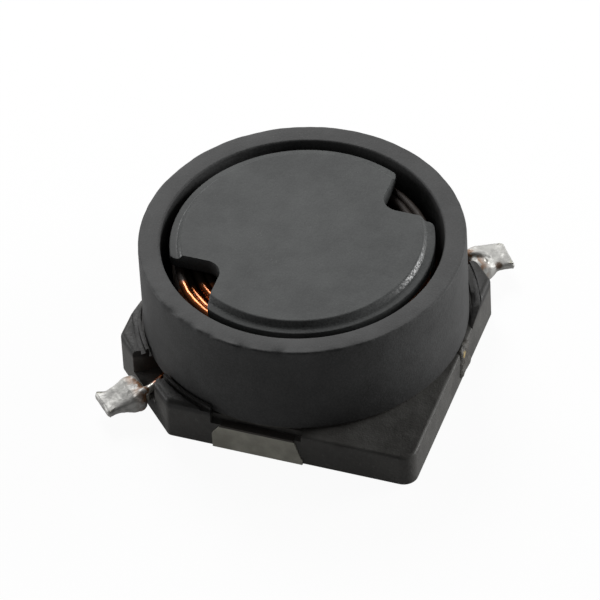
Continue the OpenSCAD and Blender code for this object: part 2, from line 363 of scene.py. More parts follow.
@dataclass(frozen=True)
class MouldedResin(Finish):
    """Glass-filled moulding resin: near black, satin, with flow marks and paler dust.

    Above one height, which is on the ears, it is darkened as painted shade. Sizes are in millimetres.
    """

    name: str = "moulded_resin"
    dark: Colour = (0.060, 0.058, 0.054)
    light: Colour = (0.105, 0.103, 0.097)
    dust: Colour = (0.18, 0.177, 0.165)
    dust_share: float = 0.5
    # Painted shade: near black over the ears, above one height.
    painted_ear_shade: Colour = (0.016, 0.0155, 0.015)
    painted_ear_shade_from: float = 0.8
    painted_ear_shade_share: float = 0.85
    cloud: float = 0.7
    grit: float = 0.04
    grit_depth: float = 0.006
    wave: float = 0.25
    wave_depth: float = 0.014
    gloss: float = 0.3
    smoothest: float = 0.4
    cloud_rough: float = 0.15
    grit_rough: float = 0.2

    def shade(self, graph: Graph) -> Signal:
        """Cloudy black with dust, fine grain and soft waves, with painted shade on the ears.

        Args:
            graph: The material's nodes.

        Returns:
            The shader.
        """
        clouds = graph.grain(self.cloud, detail=4.0, shift=11.0).between(0.3, 0.75)
        fine = graph.grain(self.grit, detail=2.0, harsh=0.6, shift=5.0)
        dusty = graph.grain(0.12, harsh=0.7, shift=17.0).between(0.56, 0.78) * self.dust_share
        body = graph.blend(dusty, graph.blend(clouds, self.dark, self.light), self.dust)
        # Painted shade: the ears, above one height, are darkened.
        in_ear_shade = graph.along("Z").between(self.painted_ear_shade_from, self.painted_ear_shade_from + 0.1)
        waves = graph.relief(graph.grain(self.wave, harsh=0.6, shift=2.0), self.wave_depth)
        return graph.principled(
            Base_Color=graph.blend(in_ear_shade * self.painted_ear_shade_share, body, self.painted_ear_shade),
            Roughness=clouds * self.cloud_rough + fine * self.grit_rough + self.smoothest,
            Specular_IOR_Level=self.gloss,
            Normal=graph.relief(fine, self.grit_depth, waves),
        )


@dataclass(frozen=True)
class TinnedSheet(Finish):
    """Lead-frame sheet with dull tin plating, with painted shade above one height, over the plates' top edges
    under the ring.

    Sizes are in millimetres.
    """

    name: str = "tinned_sheet"
    bright: Colour = (0.46, 0.45, 0.39)
    dull: Colour = (0.32, 0.31, 0.265)
    # Painted shade: near black over the plates' top edges, where the ring shades them.
    painted_edge_shade: Colour = (0.05, 0.045, 0.04)
    painted_edge_shade_from: float = 0.615
    patch: float = 0.5
    grit: float = 0.03
    grit_depth: float = 0.003
    wave: float = 0.3
    wave_depth: float = 0.006
    metal: float = 0.4
    rubbed_metal: float = 0.2
    smoothest: float = 0.45
    grit_rough: float = 0.2

    def shade(self, graph: Graph) -> Signal:
        """Matt tin with rubbed patches, a fine grain and painted shade on the plates' top edges.

        Args:
            graph: The material's nodes.

        Returns:
            The shader.
        """
        rubbed = graph.grain(self.patch, detail=4.0, harsh=0.6, shift=4.0).between(0.35, 0.7)
        fine = graph.grain(self.grit, detail=2.0, harsh=0.6, shift=9.0)
        # Painted shade: everything above one height, which is the plates' top edges under the ring, is
        # darkened.
        in_edge_shade = graph.along("Z").between(self.painted_edge_shade_from - 0.02, self.painted_edge_shade_from)
        tin = graph.blend(rubbed, self.dull, self.bright)
        waves = graph.relief(graph.grain(self.wave), self.wave_depth)
        return graph.principled(
            Base_Color=graph.blend(in_edge_shade, tin, self.painted_edge_shade),
            Metallic=rubbed * self.rubbed_metal + self.metal,
            Roughness=fine * self.grit_rough + self.smoothest,
            Normal=graph.relief(fine, self.grit_depth, waves),
        )


@dataclass(frozen=True)
class Solder(Finish):
    """Hand-run solder: pale and satin, with brown flux in its hollows and near the body.

    Sizes and the place of the burnt spot are in millimetres.
    """

    name: str = "hand_run_solder"
    bright: Colour = (0.56, 0.555, 0.53)
    grey: Colour = (0.35, 0.345, 0.33)
    flux: Colour = (0.25, 0.12, 0.05)
    flux_reach: float = 4.0
    burnt: Colour = (0.07, 0.04, 0.022)
    burn: Place = (3.29, 2.88, 0.42)
    burn_radius: float = 0.09
    lump: float = 0.14
    lump_depth: float = 0.012
    metal: float = 0.3
    metal_lost: float = 0.25
    smoothest: float = 0.5
    frost_rough: float = 0.12

    def shade(self, graph: Graph) -> Signal:
        """Metal with frosty patches, flux near the body, one burnt spot and lumps.

        Args:
            graph: The material's nodes.

        Returns:
            The shader.
        """
        frost = graph.grain(0.22, detail=4.0, harsh=0.6, shift=6.0).between(0.35, 0.7)
        near = graph.from_axis().between(self.flux_reach + 0.2, self.flux_reach - 0.1)
        pooled = near * graph.grain(0.2).between(0.4, 0.55)
        spots = graph.grain(0.16, harsh=0.6, shift=8.0).between(0.64, 0.74)
        low = graph.along("Z").between(0.3, 0.12)
        stain = graph.maths("MAXIMUM", pooled, spots * 0.5 + low * 0.3)
        stain = graph.maths("MINIMUM", stain, 1.0)
        metal = graph.blend(stain, graph.blend(frost, self.bright, self.grey), self.flux)
        burnt = graph.around(self.burn, self.burn_radius)
        lumpy = graph.grain(self.lump, detail=2.0, harsh=0.5, shift=1.0)
        return graph.principled(
            Base_Color=graph.blend(burnt, metal, self.burnt),
            Metallic=self.metal - stain * self.metal_lost,
            Roughness=frost * self.frost_rough + self.smoothest,
            Normal=graph.relief(lumpy, self.lump_depth),
        )


@dataclass(frozen=True)
class EnamelledWire(Finish):
    """Enamelled copper wire, tinned by the terminals, with painted shade darkening its upper turns at the
    back.

    Sizes are in millimetres: the radius where the tin starts, and how far to the front the
    painted shade comes.
    """

    name: str = "copper_wire"
    copper: Colour = (0.50, 0.155, 0.046)
    deep: Colour = (0.34, 0.095, 0.028)
    tin: Colour = (0.50, 0.485, 0.45)
    tinned_from: float = 3.58
    # Painted shade: dark colour on the upper turns away from the front, where the flanges and the ring shade
    # them.
    painted_back_shade: Colour = (0.018, 0.010, 0.006)
    painted_back_shade_to: float = 0.8
    front_heading: float = 21.0
    dent: float = 0.12
    dent_depth: float = 0.004
    enamel: float = 0.35
    enamel_rough: float = 0.08
    metal: float = 0.9
    metal_lost: float = 0.8
    smoothest: float = 0.22
    scuff_rough: float = 0.12
    # Painted shade: the shaded turns are also made rougher.
    painted_back_shade_rough: float = 0.4
    tin_rough: float = 0.15

    def shade(self, graph: Graph) -> Signal:
        """Copper under clear enamel, with uneven borders to the tin and to the painted shade.

        Args:
            graph: The material's nodes.

        Returns:
            The shader.
        """
        tone = graph.grain(0.5, harsh=0.5, shift=2.0).between(0.3, 0.7)
        reach = graph.from_axis() + graph.grain(0.1, detail=2.0, harsh=0.5, shift=5.0) * 0.2
        tinned = reach.between(self.tinned_from + 0.05, self.tinned_from + 0.2)
        # Painted shade: the upper turns away from the front are darkened and dulled in place of the flanges'
        # and ring's shadow.
        heading = math.radians(self.front_heading)
        forward = graph.along("X") * math.sin(heading) + graph.along("Y") * -math.cos(heading)
        border = forward + graph.grain(0.15, detail=2.0, harsh=0.5, shift=12.0) * 0.15
        in_back_shade = border.between(self.painted_back_shade_to + 0.12, self.painted_back_shade_to)
        in_back_shade = in_back_shade * graph.along("Z").between(1.6, 2.0)
        copper = graph.blend(in_back_shade, graph.blend(tone, self.deep, self.copper), self.painted_back_shade)
        scuffs = graph.grain(0.08, detail=2.0, harsh=0.5, shift=4.0)
        dents = graph.grain(self.dent, detail=2.0, harsh=0.5, shift=1.0)
        rough = scuffs * self.scuff_rough + in_back_shade * self.painted_back_shade_rough + tinned * self.tin_rough
        return graph.principled(
            Base_Color=graph.blend(tinned, copper, self.tin),
            Metallic=self.metal - in_back_shade * self.metal_lost,
            Roughness=rough + self.smoothest,
            Coat_Weight=(1.0 - tinned) * (1.0 - in_back_shade) * self.enamel,
            Coat_Roughness=self.enamel_rough,
            Normal=graph.relief(dents, self.dent_depth),
        )


@dataclass(frozen=True)
class CuredGlue(Finish):
    """Cured epoxy, brown and rough, with one clearer spot. Sizes are in millimetres."""

    name: str = "cured_glue"
    dusty: Colour = (0.095, 0.09, 0.08)
    brown: Colour = (0.05, 0.044, 0.036)
    amber: Colour = (0.40, 0.30, 0.12)
    clear_spot: Place = (3.53, -0.13, 0.71)
    clear_radius: float = 0.07
    lump: float = 0.1
    lump_depth: float = 0.03
    gloss: float = 0.45
    smoothest: float = 0.35
    tone_rough: float = 0.3

    def shade(self, graph: Graph) -> Signal:
        """Dusty brown with one amber spot and a lumpy skin.

        Args:
            graph: The material's nodes.

        Returns:
            The shader.
        """
        tone = graph.grain(0.3, detail=4.0, harsh=0.6, shift=9.0)
        body = graph.blend(tone.between(0.35, 0.65), self.dusty, self.brown)
        clear = graph.around(self.clear_spot, self.clear_radius)
        lumpy = graph.grain(self.lump, detail=4.0, harsh=0.7, shift=3.0)
        return graph.principled(
            Base_Color=graph.blend(clear, body, self.amber),
            Roughness=tone * self.tone_rough + self.smoothest,
            Specular_IOR_Level=self.gloss,
            Normal=graph.relief(lumpy, self.lump_depth),
        )


@dataclass(frozen=True)
class PaleFloor(Finish):
    """Pale table top: white to the camera, paler in polished metal, and with a faint shadow."""

    name: str = "pale_floor"
    colour: Colour = (0.5, 0.5, 0.5)
    cloudiness: float = 0.02
    cloud: float = 4.0
    white: Colour = (0.97, 0.97, 0.97)
    shadow_share: float = 0.05
    glossy_share: float = 0.3

    def shade(self, graph: Graph) -> Signal:
        """Matt grey, with a white glow for camera, glossy and transmission rays.

        Args:
            graph: The material's nodes.

        Returns:
            The shader.
        """
        camera = graph.ray("Camera")
        shiny = graph.maths("MAXIMUM", graph.ray("Glossy"), graph.ray("Transmission"))
        duller = tuple(c * (1.0 - self.cloudiness) for c in self.colour)
        cloudy = graph.blend(graph.grain(self.cloud, detail=2.0), self.colour, duller)
        seen = graph.blend(camera, cloudy, self.white)
        matt = graph.node("ShaderNodeBsdfDiffuse", None, {"Color": seen})
        glow = graph.node(
            "ShaderNodeEmission", None, {"Color": (1.0, 1.0, 1.0, 1.0), "Strength": 1.0}
        )
        share = camera * (1.0 - self.shadow_share) + shiny * self.glossy_share
        return graph.node("ShaderNodeMixShader", None, {0: share, 1: matt, 2: glow})


class Stock(Enum):
    """The finishes in use, each with the record's material slot that it belongs to."""

    RESIN = (MouldedResin(), "base_resin")
    SHEET = (TinnedSheet(), "lead_frame")
    DRUM = (
        SinteredFerrite(
            "sintered_drum", (0.043, 0.045, 0.045), (0.086, 0.090, 0.089), worn_from=2.53, worn_to=2.6
        ),
        "drum_ferrite",
    )
    RING = (
        SinteredFerrite("sintered_ring", (0.037, 0.037, 0.037), (0.074, 0.075, 0.075)),
        "ring_ferrite",
    )
    WIRE = (EnamelledWire(), "enamelled_wire")
    GLUE = (CuredGlue(), "adhesive")
    SOLDER = (Solder(), "solder")

    @property
    def finish(self) -> Finish:
        """The finish."""
        return self.value[0]

    @property
    def slot(self) -> str:
        """The record's material slot."""
        return self.value[1]


# ------------------------------------------------------------------ shaping


# Gives a point's new place from the point and its normal.
Rule = Callable[[Vector, Vector], Vector]


class Workpiece:
    """A mesh under work, in millimetres in the part's frame."""

    def __init__(
        self, name: str, vertices: Sequence[Sequence[float]], faces: Sequence[Sequence[int]]
    ) -> None:
        """Makes the mesh.

        Args:
            name: The piece's name.
            vertices: Its points.
            faces: Its faces, as lists of point numbers.
        """
        mesh = bpy.data.meshes.new(name)
        mesh.from_pydata([tuple(v) for v in vertices], [], [tuple(f) for f in faces])
        self.thing = bpy.data.objects.new(name, mesh)
        bpy.context.scene.collection.objects.link(self.thing)
        self.edit(lambda work: bmesh.ops.recalc_face_normals(work, faces=work.faces))

    @classmethod
    def lofted(
        cls, name: str, rings: Sequence[Sequence[Sequence[float]]], closed: bool = False
    ) -> "Workpiece":
        """A skin through rings of equal length.

        Args:
            name: The piece's name.
            rings: Rings of points.
            closed: True where the last ring joins the first, and False where both ends are capped.

        Returns:
            The piece.
        """
        count = len(rings[0])
        points = [p for ring in rings for p in ring]
        spans = len(rings) if closed else len(rings) - 1
        faces = [
            (
                i * count + k,
                i * count + (k + 1) % count,
                (i + 1) % len(rings) * count + (k + 1) % count,
                (i + 1) % len(rings) * count + k,
            )
            for i in range(spans)
            for k in range(count)
        ]
        if not closed:
            faces += [tuple(range(count)), tuple(range(len(points) - 1, len(points) - count - 1, -1))]
        return cls(name, points, faces)

    @classmethod
    def turned(cls, name: str, profile: Sequence[Point], steps: int) -> "Workpiece":
        """A closed profile turned round the vertical axis.

        Args:
            name: The piece's name.
            profile: Points of (radius, height).
            steps: How many sections the turn has.

        Returns:
            The piece.
        """
        rings = [
            [(r * math.cos(a), r * math.sin(a), z) for r, z in profile]
            for a in (math.tau * i / steps for i in range(steps))
        ]
        return cls.lofted(name, rings, closed=True)

    @classmethod
    def spun(cls, name: str, profile: Sequence[Point], steps: int) -> "Workpiece":
        """An open profile of (radius, height) turned round the vertical axis, with flat ends."""
        ring = [(math.cos(math.tau * i / steps), math.sin(math.tau * i / steps)) for i in range(steps)]
        return cls.lofted(name, [[(r * x, r * y, z) for x, y in ring] for r, z in profile])

    @classmethod
    def disc(cls, name: str, radius: float, low: float, high: float, steps: int = 192) -> "Workpiece":
        """A plain upright cylinder."""
        return cls.spun(name, [(radius, low), (radius, high)], steps)

    @classmethod
    def prism(cls, name: str, outline: Sequence[Point], low: float, high: float) -> "Workpiece":
        """A flat outline raised from one height to another."""
        return cls.lofted(name, [[(*p, low) for p in outline], [(*p, high) for p in outline]])

    @classmethod
    def swept(cls, name: str, route: Sequence[Vector], radius: float, sides: int) -> "Workpiece":
        """A round section swept along a route without twist.

        Args:
            name: The piece's name.
            route: The middle of the section, point after point.
            radius: The section's radius.
            sides: How many points the section has.

        Returns:
            The piece.
        """
        rings = []
        normal = Vector((0.0, 0.0, 1.0))
        for i, point in enumerate(route):
            ahead = (route[min(i + 1, len(route) - 1)] - route[max(i - 1, 0)]).normalized()
            normal = (normal - normal.dot(ahead) * ahead).normalized()
            side = ahead.cross(normal)
            angles = [math.tau * k / sides for k in range(sides)]
            rings.append([point + radius * (math.cos(a) * normal + math.sin(a) * side) for a in angles])
        return cls.lofted(name, rings)

    @classmethod
    def ball(cls, name: str, centre: Place, radii: Place, steps: int = 24) -> "Workpiece":
        """An ellipsoid with its axes along X, Y and Z.

        Args:
            name: The piece's name.
            centre: Its middle.
            radii: Its three half axes.
            steps: How many sections it has round its equator.

        Returns:
            The piece.
        """
        form = Matrix.Translation(centre) @ Matrix.Diagonal((*radii, 1.0))
        return cls(name, [], []).edit(
            lambda work: bmesh.ops.create_uvsphere(
                work, u_segments=steps, v_segments=steps // 2, radius=1.0, matrix=form
            )
        )

    @classmethod
    def copied(cls, name: str, node: str) -> "Workpiece":
        """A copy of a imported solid, with its triangles on one plane joined.

        Args:
            name: The piece's name.
            node: The solid's node.

        Returns:
            The piece.
        """
        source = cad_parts[node].data
        points = [v.co / MM for v in source.vertices]
        piece = cls(name, points, [tuple(p.vertices) for p in source.polygons])
        piece.edit(lambda work: bmesh.ops.remove_doubles(work, verts=work.verts, dist=1e-4))
        return piece.edit(
            lambda work: bmesh.ops.dissolve_limit(
                work, angle_limit=math.radians(0.5), verts=work.verts, edges=work.edges
            )
        )

    def edit(self, change: Callable[[bmesh.types.BMesh], object]) -> "Workpiece":
        """Runs a bmesh change on the mesh.

        Args:
            change: What is done to the bmesh.

        Returns:
            This piece.
        """
        work = bmesh.new()
        work.from_mesh(self.thing.data)
        change(work)
        work.to_mesh(self.thing.data)
        work.free()
        return self

    def modified(self, kind: str, **settings: object) -> "Workpiece":
        """Applies one modifier.

        Args:
            kind: The modifier's type.
            settings: Its properties.

        Returns:
            This piece.
        """
        modifier = self.thing.modifiers.new(kind.title(), kind)
        for name, value in settings.items():
            setattr(modifier, name, value)
        view = bpy.context.evaluated_depsgraph_get()
        shaped = bpy.data.meshes.new_from_object(self.thing.evaluated_get(view))
        self.thing.modifiers.clear()
        self.thing.data = shaped
        return self

    def _with(self, operation: str, tool: "Workpiece") -> "Workpiece":
        """Combines this piece with a tool and clears the tool away.

        Args:
            operation: What the Boolean modifier does.
            tool: The other piece.

        Returns:
            This piece.
        """
        self.modified("BOOLEAN", operation=operation, object=tool.thing, solver="EXACT")
        bpy.data.objects.remove(tool.thing)
        return self

    def minus(self, tool: "Workpiece") -> "Workpiece":
        """Cuts a tool's shape away."""
        return self._with("DIFFERENCE", tool)

    def plus(self, tool: "Workpiece") -> "Workpiece":
        """Fuses a tool's shape on."""
        return self._with("UNION", tool)

    def within(self, tool: "Workpiece") -> "Workpiece":
        """Keeps only what lies in a tool's shape."""
        return self._with("INTERSECT", tool)

    def beside(self, other: "Workpiece") -> "Workpiece":
        """Takes in another piece's faces as they are.

        Args:
            other: The piece that is used up.

        Returns:
            This piece.
        """
        self.edit(lambda work: work.from_mesh(other.thing.data))
        bpy.data.objects.remove(other.thing)
        return self

    def moved(self, form: Matrix) -> "Workpiece":
        """Moves every point."""
        self.thing.data.transform(form)
        return self

    def eased(self, width: float, segments: int = 2, angle: float = 30.0) -> "Workpiece":
        """Rounds the sharper edges.

        Args:
            width: How far the rounding reaches to both sides of an edge.
            segments: How many steps it has.
            angle: Edges that turn by more than this many degrees are rounded.

        Returns:
            This piece.
        """
        return self.modified(
            "BEVEL",
            width=width,
            segments=segments,
            limit_method="ANGLE",
            angle_limit=math.radians(angle),
            miter_outer="MITER_ARC",
            use_clamp_overlap=True,
        )

    def melted(self, voxel: float, passes: int) -> "Workpiece":
        """Fuses overlapping faces into one skin and smooths it."""
        self.modified("REMESH", mode="VOXEL", voxel_size=voxel)
        return self.modified("SMOOTH", factor=0.5, iterations=passes)

    def reshaped(self, rule: Rule) -> "Workpiece":
        """Moves each point.

        Args:
            rule: Gives a point's new place from the point and its normal.

        Returns:
            This piece.
        """

        def change(work: bmesh.types.BMesh) -> None:
            """Works out all places before any point moves.

            Args:
                work: The mesh.
            """
            work.normal_update()
            places = [rule(v.co.copy(), v.normal.copy()) for v in work.verts]
            for vertex, place in zip(work.verts, places):
                vertex.co = place

        return self.edit(change)

    def published(self, stock: Stock, *nodes: str, crease: float = 32.0) -> bpy.types.Object:
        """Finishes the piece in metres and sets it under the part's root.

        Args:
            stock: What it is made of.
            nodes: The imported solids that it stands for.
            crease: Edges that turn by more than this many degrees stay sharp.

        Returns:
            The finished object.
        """
        self.reshaped(lambda point, normal: kept_inside(point))
        self.moved(Matrix.Scale(MM, 4))
        self.thing.data.shade_smooth()
        self.thing.data.set_sharp_from_angle(angle=math.radians(crease))
        self.modified("WEIGHTED_NORMAL", keep_sharp=True)
        materials = self.thing.data.materials
        materials.clear()
        materials.append(stock.finish.material())
        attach(self.thing, "root")
        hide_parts(*nodes)
        stock.slot
        return self.thing


class Side(Enum):
    """The part's two ends, with each terminal's heading from +X in degrees."""

    A = 225.0
    B = 45.0

    @property
    def form(self) -> Matrix:
        """Takes a terminal's own axes, with +X outwards, to this end of the part."""
        return Matrix.Rotation(math.radians(self.value), 4, "Z")


HALF_TURN = Matrix.Rotation(math.pi, 4, "Z")
HALVES = (Matrix.Identity(4), HALF_TURN)
BEYOND = 0.5  # how far a cutting tool stands out past what it cuts
ABOVE = 2.0  # a height over everything that the base has


def box_of(node: str) -> tuple[Vector, Vector]:
    """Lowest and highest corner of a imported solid, in millimetres."""
    low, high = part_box(node)
    return low / MM, high / MM


def kept_inside(point: Vector) -> Vector:
    """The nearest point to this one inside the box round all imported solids, in millimetres."""
    return Vector(max(low / MM, min(high / MM, c)) for low, high, c in zip(*CAD_BOX, point))


def arc(centre: Point, radius: float, start: float, end: float, steps: int) -> list[Point]:
    """Points on an arc, with its angles in degrees."""
    angles = [math.radians(start + (end - start) * i / steps) for i in range(steps + 1)]
    return [(centre[0] + radius * math.cos(a), centre[1] + radius * math.sin(a)) for a in angles]


def rounded_route(points: Sequence[Vector], spans: int) -> list[Vector]:
    """A smooth route through points.

    Args:
        points: Points that it passes.
        spans: How many steps it takes from one point to the next.

    Returns:
        The route's points.
    """
    route = []
    for i in range(len(points) - 1):
        a, b = points[max(i - 1, 0)], points[i]
        c, d = points[i + 1], points[min(i + 2, len(points) - 1)]
        square, cube = 2 * a - 5 * b + 4 * c - d, 3 * b - a - 3 * c + d
        steps = [k / spans for k in range(spans)]
        route += [0.5 * (2 * b + (c - a) * t + square * t**2 + cube * t**3) for t in steps]
    return [*route, points[-1]]


def ripple(point: Vector, size: float, seed: float) -> float:
    """Smooth noise from -1 to 1 at a point."""
    return noise.noise(point / size + Vector((seed, -seed, 2 * seed)))


def lumps(point: Vector, *waves: Wave) -> float:
    """Height of a lumpy skin at a point, from waves of (height, size, seed)."""
    return sum(height * ripple(point, size, seed) for height, size, seed in waves)


# ------------------------------------------------------------------ sub-assemblies


class Assembly(ABC):
    """A group of pieces that are built together."""

    @abstractmethod
    def build(self) -> Iterator[bpy.types.Object]:
        """Builds the pieces one after another."""


@dataclass
class RingCore(Assembly):
    """The ferrite ring round the winding."""

    wall: float = 0.46
    edge: float = 0.05
    edge_steps: int = 5
    steps: int = 320
    rows_down: Sequence[float] = (0.3, 0.16, 0.07)
    rows_in: Sequence[float] = (0.05, 0.12)
    chip_reach: float = 0.2
    chip_depth: float = 0.07
    chip_fall: float = 0.8
    chip_heading: float = 262.0
    chip_far_share: float = 0.15

    def profile(self, outer: float, low: float, high: float) -> list[Point]:
        """Section of the wall with its four edges rounded, finer beside the edge that is chipped.

        Args:
            outer: The ring's outer radius.
            low: Height of its underside.
            high: Height of its top.

        Returns:
            Points of (radius, height), down the outside first.
        """
        inner, e = outer - self.wall, self.edge
        corners = (
            (outer, high, -1, -1, 0),
            (inner, high, 1, -1, 90),
            (inner, low, 1, 1, 180),
            (outer, low, -1, 1, 270),
        )
        points = []
        for r, z, inward, down, start in corners:
            points += arc((r + inward * e, z + down * e), e, start, start + 90, self.edge_steps)
        first = self.edge_steps + 1
        outside = [(outer, high - e - reach) for reach in self.rows_down]
        top = [(outer - e - reach, high) for reach in self.rows_in]
        return [*outside, *points[:first], *top, *points[first:]]

    def build(self) -> Iterator[bpy.types.Object]:
        """The ring, with small chips along its outer top edge.

        Yields:
            The ring.
        """
        low, high = box_of("ring_core")
        outer, heading = high.x, math.radians(self.chip_heading)

        def chipped(point: Vector, normal: Vector) -> Vector:
            """Chips the top outer edge, most of all towards the chips' heading.

            Args:
                point: A point of the ring.
                normal: Its normal, which isn't used.

            Returns:
                The point's new place.
            """
            radius = math.hypot(point.x, point.y)
            from_edge = outer - radius + high.z - point.z
            nearness = max(0.0, 1.0 - from_edge / self.chip_reach) ** 1.5
            facing = max(0.0, (point.x * math.cos(heading) + point.y * math.sin(heading)) / radius)
            chip = max(0.0, 0.3 + lumps(point, (1.0, 0.42, 3.0), (0.5, 0.16, 9.0)))
            inwards = Vector((-point.x / radius, -point.y / radius, -self.chip_fall))
            share = self.chip_far_share + (1.0 - self.chip_far_share) * facing**4
            return point + inwards * self.chip_depth * nearness * chip * share

        ring = Workpiece.turned("ring_core_body", self.profile(outer, low.z, high.z), self.steps)
        yield ring.reshaped(chipped).published(Stock.RING, "ring_core")


@dataclass
class DrumCore(Assembly):
    """The ferrite drum: two notched flanges on a post."""

    flange: float = 0.36
    post: float = 1.9
    bevel: float = 0.11
    land: float = 0.15
    drop: float = 0.135
    bend: float = 0.02
    bevel_foot: float = 0.87
    bevel_head: float = 0.16
    head_in: float = 0.01
    head_out: float = 0.03
    rim: float = 0.03
    rim_middle: float = 0.3
    notch_reach: float = 1.93
    notch_fillet: float = 0.38
    notch_rim: float = 0.2
    notch_slack: float = 0.0005
    notch_steps: int = 10
    easing: float = 0.02
    steps: int = 256

    def profile(self, radius: float, low: float, high: float) -> list[Point]:
        """Outside of the drum's section, from the bottom face round to the top face.

        Args:
            radius: The flanges' radius.
            low: Height of the bottom face.
            high: Height of the top face.

        Returns:
            Points of (radius, height).
        """
        shelf, middle = high - self.drop, self.rim * self.rim_middle
        foot, head = radius - self.land, radius - self.land - self.bevel
        top = [
            (radius, high - self.flange),
            (radius, shelf - self.rim),
            (radius - middle, shelf - middle),
            (radius - self.rim, shelf),
            (foot + self.bend, shelf),
            (foot - self.bend, high - self.drop * self.bevel_foot),
            (head + self.head_out, high - self.drop * self.bevel_head),
            (head - self.head_in, high),
        ]
        bottom = [(r, low + high - z) for r, z in reversed(top)]
        return [*bottom, (self.post, low + self.flange), (self.post, high - self.flange), *top]

    def notch(self, radius: float) -> list[Point]:
        """Outline of a notch that opens along +X, with its inner end and rim corners rounded.

        Args:
            radius: The flange's radius.

        Returns:
            The outline.
        """
        centre = self.notch_reach + self.notch_fillet
        slope = math.sqrt(0.5)
        wall = Vector((centre - self.notch_fillet * slope, self.notch_fillet * slope))
        inset = wall + self.notch_rim * Vector((-slope, slope))
        lead_in = (inset.x + inset.y) * slope
        reach = radius - self.notch_rim
        run = -lead_in + math.sqrt(lead_in**2 - inset.length_squared + reach**2)
        rim = inset + run * Vector((slope, slope))
        angle = math.atan2(rim.y, rim.x)
        far = radius + BEYOND
        side = [
            (far * math.cos(angle), far * math.sin(angle)),
            *arc(tuple(rim), self.notch_rim + self.notch_slack, math.degrees(angle), -45.0, self.notch_steps),
            *arc((centre, 0.0), self.notch_fillet, 135.0, 180.0, self.notch_steps),
        ]
        return side + [(x, -y) for x, y in reversed(side[:-1])]

    def build(self) -> Iterator[bpy.types.Object]:
        """The drum, with a notch in both flanges towards each terminal.

        Yields:
            The drum.
        """
        low, high = box_of("drum_core")
        radius = high.x
        drum = Workpiece.spun("drum_core_body", self.profile(radius, low.z, high.z), self.steps)
        flanges = ((low.z - BEYOND, low.z + self.flange), (high.z - self.flange, high.z + BEYOND))
        for side in Side:
            for bottom, top in flanges:
                tool = Workpiece.prism("notch_tool", self.notch(radius), bottom, top)
                drum.minus(tool.moved(side.form))
        yield drum.eased(self.easing).published(Stock.DRUM, "drum_core")


@dataclass
class Lead:
    """Where the wire's ends run, beside a terminal.

    Places are (along, across, height) in millimetres, with along measured from the vertical axis
    towards the terminal.
    """

    wire: float = 0.19
    sheet: float = 0.16
    tab_low: float = 0.26
    neck: float = 0.37
    seep: float = 0.005
    wrap_start: float = 3.92
    wrap_tail: float = 0.12
    bend_steps: int = 3

    @property
    def gap(self) -> float:
        """From the tab's surface to the middle of the wrapped wire."""
        return self.wire / 2 + self.seep

    @property
    def height(self) -> float:
        """Height of the middle of the wire over the tab."""
        return self.tab_low + self.sheet + self.gap

    def wrap(self) -> list[Vector]:
        """One turn round the tab's neck.

        Returns:
            The turn's points, from the wire's free end to where the lead starts.
        """
        half, low, top = self.neck / 2, self.tab_low, self.tab_low + self.sheet
        section = [(self.wrap_tail, self.height)]
        bends = ((-half, top, 90), (-half, low, 180), (half, low, 270), (half, top, 0))
        for across, level, start in bends:
            section += arc((across, level), self.gap, start, start + 90, self.bend_steps)
        last = len(section) - 1
        pitch = self.wire + self.seep
        return [
            Vector((self.wrap_start + pitch * (1 - i / last), across, level))
            for i, (across, level) in enumerate(section)
        ]

    def start(self) -> list[Vector]:
        """From terminal A's wrap in to the winding.

        Returns:
            The lead's points.
        """
        h = self.height
        route = (
            (3.77, 0.19, h), (3.62, 0.145, h), (3.40, 0.05, h), (3.15, -0.06, h), (2.85, -0.14, h),
            (2.55, -0.19, h + 0.01), (2.35, -0.19, h + 0.06), (2.18, -0.12, h + 0.16),
        )
        return [Vector(p) for p in route]

    def end(self, outer: float, coil_low: float) -> list[Vector]:
        """From the winding's last turn out to terminal B's wrap.

        Args:
            outer: Radius of the outermost layer.
            coil_low: Height of its lowest turn.

        Returns:
            The lead's points.
        """
        h = self.height
        route = (
            (outer + 0.04, 0.18, coil_low - 0.06), (outer + 0.14, 0.27, coil_low - 0.16),
            (outer + 0.3, 0.29, h + 0.04), (3.14, 0.27, h), (3.40, 0.22, h), (3.64, 0.18, h), (3.78, 0.2, h),
        )
        return [Vector(p) for p in route]


